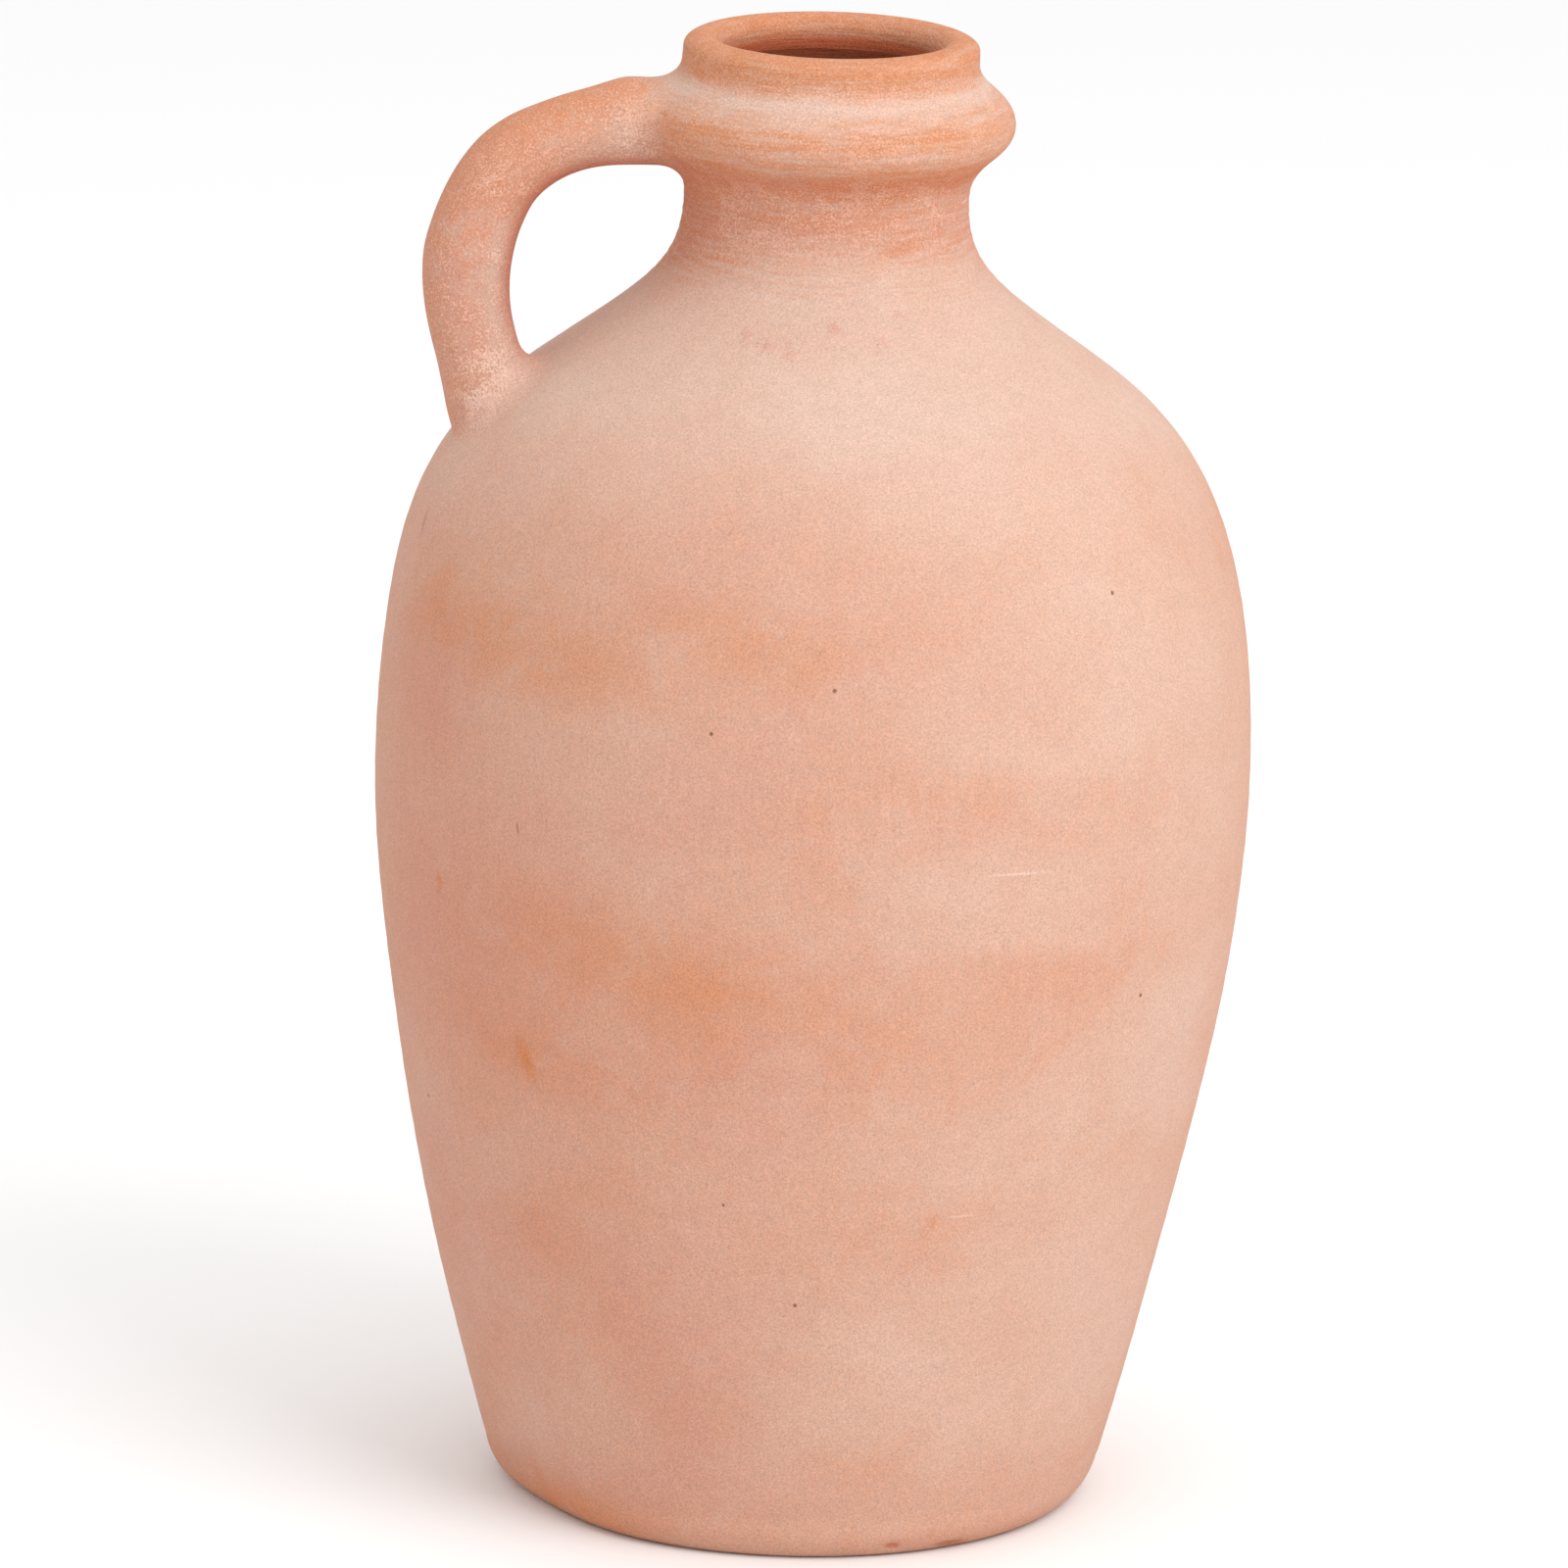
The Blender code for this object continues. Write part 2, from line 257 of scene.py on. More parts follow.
def throwing_rings(angle, height):
    """The shallow spiral ridges that a potter's fingers leave, finer in the throat."""
    in_throat = smooth(height, 0.284, 0.294) * smooth(height, 0.318, 0.310)
    body = ridges(angle, height, BODY_RIDGES)
    return body * (1 - in_throat) + ridges(angle, height, THROAT_RIDGES) * in_throat


def out_of_round(angle, height):
    """Slow unevenness round the wall, less than half a millimetre deep."""
    side = turn(angle, FRONT)
    wave = 0.00028 * np.sin(2 * side) * np.sin(height / 0.060 + 0.4)
    wave += 0.00016 * np.sin(3 * side + 1.1) * np.cos(height / 0.037)
    return wave * smooth(height, 0.0, 0.030) * smooth(height, 0.330, 0.290)


def luting_swell(angle, height):
    """The clay smoothed down the shoulder from the handle's lower end."""
    across = bell(turn(angle, HANDLE_ANGLE + 0.02), 0.30)
    down = smooth(height, 0.203, 0.246) * smooth(height, 0.272, 0.252)
    return 0.0011 * across * down


def small_marks(angle, height):
    """Crumbs stuck on the shoulder, with a dimple beside each, and chips out of the foot."""
    total = 0 * (angle + height)
    for around, up, size in CRUMBS:
        distance = turn(angle, FRONT + math.radians(around)) * outer_radius(up) * 1000
        total = total + 0.00016 * bell(np.hypot(distance, (height - up) * 1000), 0.8 * size)
        beside = np.hypot(distance - 1.1 * size, (height - up) * 1000 - 0.7)
        total = total - 0.00014 * bell(beside, 0.8 * size)
    for around, up, half_around, half_up in CHIPS:
        distance = turn(angle, FRONT + math.radians(around)) / math.radians(half_around)
        total = total - 0.0007 * bell(np.hypot(distance, (height - up) / half_up), 1)
    return total


def relief(angle, height):
    uneven = throwing_rings(angle, height) + out_of_round(angle, height)
    shaped = luting_swell(angle, height) + foot_warp(angle, height)
    return uneven + shaped + small_marks(angle, height)


def surface_radius(angle, height):
    return outer_radius(height) + relief(angle, height)


def vessel_point(angle, height, radius):
    x = sway(height) + radius * np.cos(angle)
    y = radius * np.sin(angle)
    return np.stack([x, y, height + 0 * x], -1)


def vessel_polar(points):
    """Angle, height and distance from the swaying axis, of points in space."""
    x = points[..., 0] - sway(points[..., 2])
    y = points[..., 1]
    return np.arctan2(y, x), points[..., 2], np.hypot(x, y)


# Where the fired clay is more orange: degrees round from the front, height in metres, the half
# sizes of the patch in degrees and metres, and its strength.
WARM_PATCHES = (
    (-58, 0.220, 14, 0.013, 0.78),
    (-58, 0.160, 18, 0.070, 0.10),
    (-38, 0.218, 11, 0.010, 0.38),
    (-60, 0.196, 9, 0.011, 0.25),
    (-18, 0.229, 11, 0.008, 0.38),
    (-4, 0.223, 9, 0.009, 0.48),
    (-26, 0.214, 10, 0.008, 0.36),
    (-52, 0.129, 9, 0.012, 0.45),
    (-29, 0.134, 8, 0.007, 0.35),
    (-52, 0.103, 8, 0.012, 0.18),
    (-30, 0.092, 8, 0.008, 0.30),
    (18, 0.193, 14, 0.007, 0.16),
    (1, 0.184, 4, 0.018, 0.28),
    (-44, 0.152, 14, 0.013, 0.75),
    (-26, 0.150, 12, 0.014, 0.54),
    (-11, 0.143, 9, 0.013, 0.67),
    (2, 0.137, 10, 0.014, 0.38),
    (14, 0.125, 8, 0.014, 0.36),
    (32, 0.143, 14, 0.012, 0.20),
    (-42, 0.121, 8, 0.009, 0.60),
    (-28, 0.120, 13, 0.016, 0.48),
    (-10, 0.126, 8, 0.010, 0.35),
    (-40, 0.078, 9, 0.010, 0.55),
    (-32, 0.058, 11, 0.013, 0.44),
    (-18, 0.042, 7, 0.014, 0.34),
    (14, 0.085, 9, 0.009, 0.16),
    (-50, 0.004, 26, 0.008, 1.00),
    (30, 0.002, 40, 0.005, 0.22),
    (-64, 0.028, 12, 0.014, 0.22),
    (105, 0.225, 16, 0.010, 0.45),
    (120, 0.140, 22, 0.011, 0.60),
    (150, 0.085, 16, 0.014, 0.45),
    (-140, 0.150, 20, 0.013, 0.60),
    (-105, 0.075, 15, 0.014, 0.45),
    (170, 0.215, 14, 0.012, 0.50),
    (-165, 0.060, 14, 0.012, 0.40),
    (95, 0.060, 16, 0.016, 0.35),
    (-110, 0.185, 12, 0.016, 0.35),
    (150, 0.245, 20, 0.008, 0.35),
)

# Where it is pinker, the same way.
ROSE_PATCHES = (
    (-46, 0.148, 24, 0.022, 0.40),
    (-60, 0.205, 14, 0.018, 0.45),
    (-9, 0.190, 9, 0.018, 0.35),
    (-36, 0.118, 24, 0.020, 0.35),
    (-6, 0.122, 11, 0.016, 0.35),
    (-32, 0.072, 18, 0.018, 0.48),
    (-16, 0.040, 14, 0.020, 0.50),
    (-60, 0.060, 16, 0.034, 0.60),
    (-64, 0.150, 16, 0.060, 0.40),
    (-30, 0.178, 14, 0.010, 0.30),
    (-36, 0.014, 30, 0.010, 0.30),
    (58, 0.200, 12, 0.014, 0.20),
    (120, 0.100, 24, 0.030, 0.45),
    (-150, 0.200, 22, 0.025, 0.45),
    (-120, 0.120, 24, 0.030, 0.40),
    (175, 0.110, 20, 0.025, 0.35),
    (140, 0.200, 18, 0.016, 0.35),
)

# Where pale salts have bloomed on the clay, the same way.
PALE_PATCHES = (
    (4, 0.272, 28, 0.010, 0.28),
    (-60, 0.270, 22, 0.006, 0.22),
    (40, 0.238, 16, 0.012, 0.46),
    (41, 0.210, 14, 0.022, 0.50),
    (64, 0.215, 13, 0.026, 0.46),
    (66, 0.174, 12, 0.014, 0.46),
    (34, 0.252, 22, 0.008, 0.30),
    (34, 0.197, 14, 0.007, 0.22),
    (68, 0.105, 13, 0.012, 0.40),
    (-32, 0.256, 14, 0.006, 0.22),
    (20, 0.205, 10, 0.012, 0.25),
    (18, 0.170, 9, 0.010, 0.38),
    (38, 0.168, 16, 0.010, 0.32),
    (30, 0.156, 22, 0.005, 0.25),
    (62, 0.130, 14, 0.018, 0.56),
    (42, 0.112, 16, 0.012, 0.36),
    (30, 0.096, 20, 0.008, 0.22),
    (52, 0.070, 24, 0.024, 0.42),
    (18, 0.055, 12, 0.016, 0.42),
    (36, 0.034, 26, 0.014, 0.46),
    (66, 0.040, 14, 0.024, 0.45),
    (2, 0.046, 10, 0.014, 0.22),
    (-60, 0.064, 7, 0.010, 0.20),
    (-52, 0.028, 8, 0.008, 0.22),
    (125, 0.180, 22, 0.014, 0.45),
    (-165, 0.110, 18, 0.016, 0.40),
    (-120, 0.225, 18, 0.014, 0.45),
    (160, 0.150, 16, 0.014, 0.40),
    (-100, 0.130, 12, 0.020, 0.35),
    (105, 0.110, 14, 0.014, 0.35),
    (-150, 0.030, 24, 0.014, 0.35),
)

# Crumbs of clay that stuck to the shoulder while it was wet: degrees, height, half size in mm.
CRUMBS = (
    (-21.3, 0.2867, 1.5), (-15.2, 0.2852, 1.3), (-8.1, 0.2846, 1.5), (4.0, 0.2892, 1.5),
    (16.4, 0.2857, 1.3), (25.4, 0.2904, 1.3), (-17.8, 0.2858, 1.0), (88, 0.2840, 1.5),
    (140, 0.2880, 1.6), (-120, 0.2860, 1.5),
)

# Pinholes: degrees, height, half width in mm.
PINHOLES = (
    (-13.0, 0.2051, 0.45), (2.9, 0.2163, 0.50), (45.6, 0.2336, 0.50), (50.7, 0.1372, 0.50),
    (-67.5, 0.1008, 0.40), (0.0, 0.0666, 0.45), (-10.7, 0.0912, 0.35), (100, 0.170, 0.50),
    (133, 0.110, 0.45), (-110, 0.205, 0.50), (-150, 0.095, 0.50), (160, 0.190, 0.45),
)

# Chips along the foot's edge: degrees, height, half width in degrees, half height in metres.
CHIPS = ((33, 0.0016, 4.5, 0.0010), (20, 0.0030, 1.8, 0.0009), (-128, 0.0015, 4.0, 0.0012))


# Rings of colour at the neck, the collar and the lip: height, half height and strength.
WARM_RINGS = ((0.3208, 0.0031, 0.88), (0.3238, 0.0026, 0.26), (0.3322, 0.0026, 0.32))
ROSE_RINGS = ((0.3090, 0.0080, 0.30),)
PALE_RINGS = ((0.3394, 0.0019, 0.80), (0.3362, 0.0020, 0.30))
# Rings of painted shade under the collar and in the throat: height, half height and strength.
SHADE_RINGS = ((0.3208, 0.0031, 0.15), (0.3120, 0.0080, 0.05))

# Blots on the handle: share of its length, half length, degrees round it, half turn in radians.
CROWN_BLOT = (0.12, 0.075, 250, 0.75)
TOP_BLOT = (0.22, 0.11, 255, 0.70)
CRUST_BLOT = (0.875, 0.055, 262, 0.85)


def rings(height, bands):
    return sum(strength * bell(height - up, half_up) for up, half_up, strength in bands)


def handle_blot(share, side, blot):
    place, half_length, degrees, half_turn = blot
    return bell(share - place, half_length) * bell(turn(side, math.radians(degrees)), half_turn)


def patches(angle, height, spots):
    total = 0 * (angle + height)
    for around, up, half_around, half_up, strength in spots:
        distance = turn(angle, FRONT + math.radians(around)) / math.radians(half_around)
        total = total + strength * bell(np.hypot(distance, (height - up) / half_up), 1)
    return total


def vessel_paint(angle, height):
    """The clay's colour and painted shade at each point of the vessel's outside and of its mouth."""
    side = turn(angle, FRONT)
    # lift moves the orange throat's lower edge down at the sides and up in front; beside the handle
    # this extra orange is partly clay colour and partly painted shade and bounce light.
    lift = 0.005 * np.cos(2 * (side - 0.25))
    throat = smooth(height - lift, 0.293, 0.311)
    lip = smooth(height - 0.0016 * np.cos(side - 0.5), 0.3403, 0.3450)
    wiped = bell(height - 0.3122, 0.0027) * bell(side + 0.26, 0.66)
    wiped = wiped + 0.7 * bell(height - 0.3062, 0.0022) * bell(side - 0.75, 0.38)
    collar = smooth(height, 0.320, 0.325) * (1 - lip)
    # Painted shade and reddish bounce light from the handle, on the neck beside it.
    handle_bounce_shade = bell(side + 1.20, 0.50) * bell(height - 0.312, 0.018)
    smeared = bell(turn(angle, HANDLE_ANGLE), 0.50) * smooth(height, 0.317, 0.324)
    smeared = smeared * smooth(height, 0.344, 0.339)
    warm = patches(angle, height, WARM_PATCHES) + rings(height, WARM_RINGS)
    warm += 0.52 * throat + 0.53 * lip + 0.5 * handle_bounce_shade + 0.5 * wiped
    edge = 0.006 * np.sin(1.6 * side - 0.9) + 0.003 * np.sin(5.2 * side + 0.4)
    band = smooth(height + edge, 0.238, 0.276) * (1 - smooth(height - lift, 0.290, 0.308))
    pale = patches(angle, height, PALE_PATCHES) + rings(height, PALE_RINGS) + 0.80 * band
    joint = bell(np.hypot(turn(angle, HANDLE_ANGLE + 0.12) / 0.40, (height - 0.248) / 0.012), 1)
    even = 0 * side
    return {
        "warm": warm,
        "rose": patches(angle, height, ROSE_PATCHES) + rings(height, ROSE_RINGS),
        "pale": pale + 0.14 * joint + 0.34 * smeared,
        "streak": smooth(height, 0.286, 0.300) * (1 - 0.6 * smeared) + even,
        "sand": (0.75 - 0.42 * collar - 0.55 * lip) * throat + 0.20 * joint + even,
        "salt": (0.34 - 0.14 * collar - 0.22 * lip) * throat + 0.12 * joint + even,
        "painted_shade": rings(height, SHADE_RINGS) + 0.10 * handle_bounce_shade,
    }


def handle_paint(share, side):
    """The same along the handle: share is 0 at the collar and 1 at the shoulder."""
    under = smooth(-np.cos(side), 0.45, 1.0)
    outside = smooth(np.cos(side), 0.25, 0.95)
    even = 0 * (share + side)
    bend = bell(share - 0.34, 0.14)
    crown = handle_blot(share, side, CROWN_BLOT)
    end = smooth(share, 0.09, 0.02)
    top = handle_blot(share, side, TOP_BLOT)
    crust = handle_blot(share, side, CRUST_BLOT)
    heel = bell(share - 0.955, 0.03) * smooth(np.cos(side), -0.1, 0.8)
    warm = 0.80 + 0.35 * bend - 0.38 * smooth(share, 0.42, 0.80) - 0.30 * smooth(share, 0.22, 0.10)
    warm += (0.30 + 0.45 * bell(share - 0.36, 0.18)) * outside
    rose = 0.20 + 0.26 * smooth(share, 0.42, 0.70) + 0.80 * heel
    inner = bell(turn(side, math.radians(228)), 0.50) * smooth(share, 0.42, 0.60)
    salt = 0.42 - 0.16 * bend + 0.30 * crown + 0.46 * crust + 0.06 * smooth(share, 0.60, 0.85)
    salt = (salt + 0.25 * inner) * (1 - 0.85 * outside)
    pale = 0.20 * bell(share - 0.12, 0.06) + 0.45 * top + 0.12 * crust
    pale = pale + 0.70 * inner + 0.30 * end
    return {
        "warm": warm + even,
        "rose": rose + 0.4 * under,
        "pale": pale + even,
        "streak": even,
        "sand": 1.0 + even,
        "salt": salt * (1 - 0.7 * heel) * (1 - 0.6 * under),
        # Painted shade on the handle's underside, from the collar to past its middle.
        "painted_shade": 0.25 * under * smooth(share, 0.86, 0.60),
    }


def add_piece(node, points, faces, paint, sharp_rows, flip):
    """A mesh from rows of points, painted point by point, that stands for one CAD node. flip
    turns its faces the other way round, so that they all look outwards."""
    name = node + "_clay"
    mesh = bpy.data.meshes.new(name)
    if flip:
        faces = [face[::-1] for face in faces]
    mesh.from_pydata(points.reshape(-1, 3).tolist(), [], faces)
    mesh.shade_smooth()
    for key, values in paint.items():
        layer = mesh.attributes.new(key, "FLOAT", "POINT")
        layer.data.foreach_set("value", np.ascontiguousarray(values, np.float32).ravel())
    mark_sharp(mesh, points.shape[:2], sharp_rows)
    piece = bpy.data.objects.new(name, mesh)
    bpy.context.scene.collection.objects.link(piece)
    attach(piece, "root")
    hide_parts(node)
    return piece


def mark_sharp(mesh, grid_shape, sharp_rows):
    """Keep the corners crisp: the edges that run along the sharp rows are sharp."""
    row_of_point = np.full(grid_shape, -1)
    for number, row in enumerate(sharp_rows):
        row_of_point[row] = number
    ends = np.zeros(len(mesh.edges) * 2, np.int32)
    mesh.edges.foreach_get("vertices", ends)
    rows = row_of_point.ravel()[ends.reshape(-1, 2)]
    sharp = (rows[:, 0] == rows[:, 1]) & (rows[:, 0] >= 0)
    layer = mesh.attributes.new("sharp_edge", "BOOLEAN", "EDGE")
    layer.data.foreach_set("value", sharp)


def grid_faces(rows, columns, closed_rows):
    """Quads of a grid whose columns go all the way round, and whose rows may too."""
    faces = []
    for row in range(rows if closed_rows else rows - 1):
        here = row * columns
        there = (row + 1) % rows * columns
        for column in range(columns):
            after = (column + 1) % columns
            faces.append((here + column, here + after, there + after, there + column))
    return faces


def tube_faces(rows, columns):
    """The faces of a tube of rows, with a cap over each end."""
    faces = grid_faces(rows, columns, False)
    faces.append(tuple(range(columns))[::-1])
    faces.append(tuple(range((rows - 1) * columns, rows * columns)))
    return faces


def drawn_in(ring):
    """A ring of points drawn in towards its middle, to carry a cap."""
    middle = ring.mean(-2, keepdims=True)
    return ring * END_CAP_SHARE + middle * (1 - END_CAP_SHARE)


def rows_between(low, high, spacing):
    count = max(2, round((high - low) / spacing))
    return np.linspace(low, high, count + 1)


def outer_rows(low, high, spacing=OUTER_ROW):
    heights = rows_between(low, high, spacing)
    return np.stack([heights, outer_radius(heights)], 1)


def inner_rows(low, high):
    heights = rows_between(low, high, INNER_ROW)
    return np.stack([heights, inner_radius(heights)], 1)


def corner_rows(section):
    """The rows at which a closed section turns sharply."""
    before = section - np.roll(section, 1, axis=0)
    after = np.roll(section, -1, axis=0) - section
    bend = np.arctan2(after[:, 1], after[:, 0]) - np.arctan2(before[:, 1], before[:, 0])
    return np.flatnonzero(np.abs(turn(bend, 0)) > SHARP_BEND)


def full_turn(steps):
    return np.linspace(0, 2 * math.pi, steps, endpoint=False)[None, :]


def turned_piece(node, section, shown, depth=BODY_INSIDE_SHADE):
    """Turn a closed section, given from its outer top downwards. shown counts its outer rows,
    which carry the relief; depth says how much painted shade the other rows, or all of them, carry."""
    angle = full_turn(AROUND)
    height = section[:, 0][:, None]
    weight = np.zeros(len(section))[:, None]
    weight[:shown] = 1
    if np.isscalar(depth):
        depth = np.where(np.arange(len(section)) < shown, 0, depth)
    depth = depth[:, None]
    radius = section[:, 1][:, None] + weight * relief(angle, height)
    points = vessel_point(angle, height, radius)
    paint = vessel_paint(angle, height + 0 * angle)
    paint["painted_shade"] = paint["painted_shade"] * (1 - depth) + depth
    faces = grid_faces(len(section), AROUND, True)
    return add_piece(node, points, faces, paint, corner_rows(section), True)


def wall_piece(node, low, high):
    outer = outer_rows(low, high)[::-1]
    section = np.concatenate([outer, inner_rows(low, high)])
    return turned_piece(node, section, len(outer))


def lower_wall_piece():
    low, high = SLAB_SEAM, WALL_SEAMS[0]
    outer = outer_rows(low, high)[::-1]
    reach = inner_radius(INNER_FLOOR_FILLET_TOP) - SLAB_BOSS_RADIUS
    centre = (INNER_FLOOR_FILLET_TOP, SLAB_BOSS_RADIUS)
    rise = INNER_FLOOR_FILLET_TOP - FLOOR_HEIGHT
    fillet = arc(centre, rise, reach, -math.pi / 2, 0, 8)
    inner = inner_rows(INNER_FLOOR_FILLET_TOP + INNER_ROW, high)
    section = np.concatenate([outer, [(low, SLAB_BOSS_RADIUS)], fillet, inner])
    return turned_piece("lower_wall", section, len(outer))


def neck_piece():
    low = WALL_SEAMS[-1]
    outer = outer_rows(low, COLLAR_SEAM, OUTER_ROW / 3)[::-1]
    inner = inner_rows(low, NECK[0])
    top = [(NECK_END, BORE_RADIUS), (NECK_END, NECK_SEAT_RADIUS), (COLLAR_SEAM, NECK_SEAT_RADIUS)]
    section = np.concatenate([outer, inner, top])
    return turned_piece("neck_tube", section, len(outer), NECK_INSIDE_SHADE)


def collar_piece():
    outer = outer_rows(COLLAR_SEAM, LIP_SEAM, OUTER_ROW / 4)[::-1]
    bore = [(COLLAR_SEAM, NECK_SEAT_RADIUS), (LIP_SEAM, NECK_SEAT_RADIUS)]
    return turned_piece("collar_ring", np.concatenate([outer, bore]), len(outer))


def mouth_shade(section):
    """Painted shade for each row of the lip's section: 0 over the rim, more down the bore."""
    down = np.clip((LIP_CREST[0] - section[:, 0]) / (LIP_CREST[0] - NECK_END), 0, 1)
    depth = 0.12 * down + 0.62 * smooth(down, 0.42, 1.0)
    return np.where(section[:, 1] < LIP_CREST[1], depth, 0)


def lip_piece():
    """The rim: its visible rows run from the seam over the crest and down into the bore."""
    foot = outer_rows(LIP_SEAM, LIP_BASE[0], OUTER_ROW / 4)
    side = np.linspace(LIP_BASE, LIP_TOP_EDGE, 8)[1:]
    width = LIP_TOP_EDGE[1] - LIP_CREST[1]
    rise = LIP_CREST[0] - LIP_TOP_EDGE[0]
    outside = arc((LIP_TOP_EDGE[0], LIP_CREST[1]), rise, width, 0, math.pi / 2, 14)
    drop = LIP_CREST[0] - BORE_LIP_HEIGHT
    centre = (BORE_LIP_HEIGHT, LIP_CREST[1])
    inside = arc(centre, drop, LIP_CREST[1] - BORE_RADIUS, math.pi / 2, math.pi, 14)
    bore = np.linspace((BORE_LIP_HEIGHT, BORE_RADIUS), (NECK_END, BORE_RADIUS), 5)
    shown = np.concatenate([foot, side, outside[1:], inside[1:], bore[1:]])[::-1]
    hidden = [(LIP_SEAM, NECK_SEAT_RADIUS), (NECK_END, NECK_SEAT_RADIUS)]
    section = np.concatenate([shown, hidden])
    return turned_piece("lip_ring", section, len(shown), mouth_shade(section))


def slab_piece():
    """The floor disc: its corner rolls under to the flat that the jug stands on."""
    corner = foot_outline(16)
    corner = corner[corner[:, 0] < SLAB_SEAM - 0.0002]
    rim = np.array([(SLAB_SEAM, float(outer_radius(SLAB_SEAM)))])
    outer = np.concatenate([rim, corner[::-1]])
    under = np.linspace(corner[0], (0, SLAB_CENTRE_RADIUS), 14)[1:]
    floor = [(FLOOR_HEIGHT, SLAB_CENTRE_RADIUS), (FLOOR_HEIGHT, SLAB_BOSS_RADIUS)]
    top = floor + [(SLAB_SEAM, SLAB_BOSS_RADIUS)]
    section = np.concatenate([outer, under, top])
    angle = full_turn(AROUND)
    height = section[:, 0][:, None]
    radius = section[:, 1][:, None]
    weight = np.zeros(len(section))[:, None]
    weight[: len(outer)] = smooth(outer[:, :1], 0.0, 0.003)
    carried = smooth(radius, 0.030, FOOT_CONTACT_RADIUS)
    carried[-len(top) :] = 0
    worn = foot_warp(angle, height)
    uneven = relief(angle, height) - worn
    points = vessel_point(angle, height, radius + weight * uneven + carried * worn)
    paint = vessel_paint(angle, height + 0 * angle)
    faces = grid_faces(len(section), AROUND, True)
    sharp_rows = (0, -3, -2, -1)
    return add_piece("base_slab", points, faces, paint, sharp_rows, True)


def handle_line():
    """The handle's centre line in the XZ plane, evenly divided, the direction out of the loop at
    each point, and the line's length."""
    line = np.concatenate([bezier(HANDLE_CROWN), bezier(HANDLE_DROP)[1:]])
    length = np.r_[0, np.cumsum(np.hypot(*np.diff(line, axis=0).T))]
    even = np.linspace(0, length[-1], HANDLE_STATIONS + 1)
    distance = np.interp(even, length, line[:, 0])
    height = np.interp(even, length, line[:, 1])
    centre = np.stack([-distance, 0 * distance, height], 1)
    tangent = np.gradient(centre, axis=0)
    tangent /= np.linalg.norm(tangent, axis=1)[:, None]
    outward = np.cross((0, 1, 0), tangent)
    return centre, outward, length[-1]


HANDLE_CENTRE, HANDLE_OUTWARD, HANDLE_LENGTH = handle_line()


def along_handle(values, share):
    position = np.clip(share, 0, 1) * (len(values) - 1)
    index = np.minimum(position.astype(int), len(values) - 2)
    part = (position - index)[..., None]
    return values[index] * (1 - part) + values[index + 1] * part


def handle_radial(share, side):
    """The direction from the centre line to the skin."""
    outward = along_handle(HANDLE_OUTWARD, share)
    across = np.array([0.0, 1.0, 0.0])
    return outward * np.cos(side)[..., None] + across * np.sin(side)[..., None]


def handle_point(share, side):
    """The handle's skin: an oval, pulled by hand, so nowhere quite even."""
    outward = along_handle(HANDLE_OUTWARD, share)
    uneven = 0.00018 * np.sin(11 * share + 2 * side) * np.abs(np.sin(side))
    outside = 0.001 * eased(share, HANDLE_OUTSIDE)
    inside = 0.001 * eased(share, HANDLE_INSIDE)
    thick = np.where(np.cos(side) > 0, outside, inside)
    wide = HANDLE_HALF_WIDTH * (outside + inside) / HANDLE_THICKNESS + uneven
    across = np.array([0.0, 1.0, 0.0])
    offset = outward * (thick * np.cos(side))[..., None] + across * (wide * np.sin(side))[..., None]
    return along_handle(HANDLE_CENTRE, share) + offset


def height_above_vessel(points):
    angle, height, radius = vessel_polar(points)
    return radius - surface_radius(angle, height)


def crossing(side, inside, outside):
    """The share of the handle at which each side line meets the vessel, by bisection."""
    low = np.full_like(side, inside)
    high = np.full_like(side, outside)
    for _ in range(40):
        middle = (low + high) / 2
        buried = height_above_vessel(handle_point(middle, side)) < 0
        low = np.where(buried, middle, low)
        high = np.where(buried, high, middle)
    return (low + high) / 2


def vessel_normal(points):
    step = 1e-5
    base = height_above_vessel(points)
    axes = np.eye(3) * step
    normal = np.stack([height_above_vessel(points + axis) - base for axis in axes], -1)
    return normal / np.linalg.norm(normal, axis=-1)[..., None]


def dropped_on_vessel(points, sink):
    angle, height, _ = vessel_polar(points)
    return vessel_point(angle, height, surface_radius(angle, height) - sink)


def fillet_run(side, run):
    """How far the luted clay runs out on each side line."""
    outside, inside, flank = run
    top = (1 + np.cos(side)) / 2
    return outside * top + inside * (1 - top) + flank * np.sin(side) ** 2


def luting(node, side, meeting, away, up_handle, over_vessel):
    """The clay smoothed into the corner between handle and vessel: a fillet that leaves the
    handle's skin up_handle away from the joint and runs out over_vessel away on the wall."""
    leave = meeting + away * up_handle / HANDLE_LENGTH
    start = handle_point(leave, side)
    corner = handle_point(meeting, side)
    normal = vessel_normal(corner)
    radial = handle_radial(meeting, side)
    outwards = radial - normal * (radial * normal).sum(-1)[..., None]
    outwards /= np.linalg.norm(outwards, axis=-1)[..., None]
    end = dropped_on_vessel(corner + outwards * over_vessel[..., None], LUTING_EDGE_SINK)
    t = np.linspace(0, 1, FILLET_ROWS + 1)[:, None, None]
    skin = (1 - t) ** 2 * start + 2 * (1 - t) * t * corner + t * t * end
    buried = end - LUTING_ROOT_DEPTH * vessel_normal(end)
    core = drawn_in(start)
    root = drawn_in(buried)
    points = np.concatenate([core[None], skin, buried[None], root[None]])
    blend = np.r_[0, np.linspace(0, 1, FILLET_ROWS + 1), 1, 1][:, None]
    angle, height, _ = vessel_polar(points)
    wall = vessel_paint(angle, height)
    rod = handle_paint(leave[None] + 0 * angle, side[None] + 0 * angle)
    paint = {key: rod[key] * (1 - blend) + wall[key] * blend for key in wall}
    faces = tube_faces(len(points), len(side))
    sharp_rows = (0, 1, -3, -2, -1)
    return leave, add_piece(node, points, faces, paint, sharp_rows, away > 0)


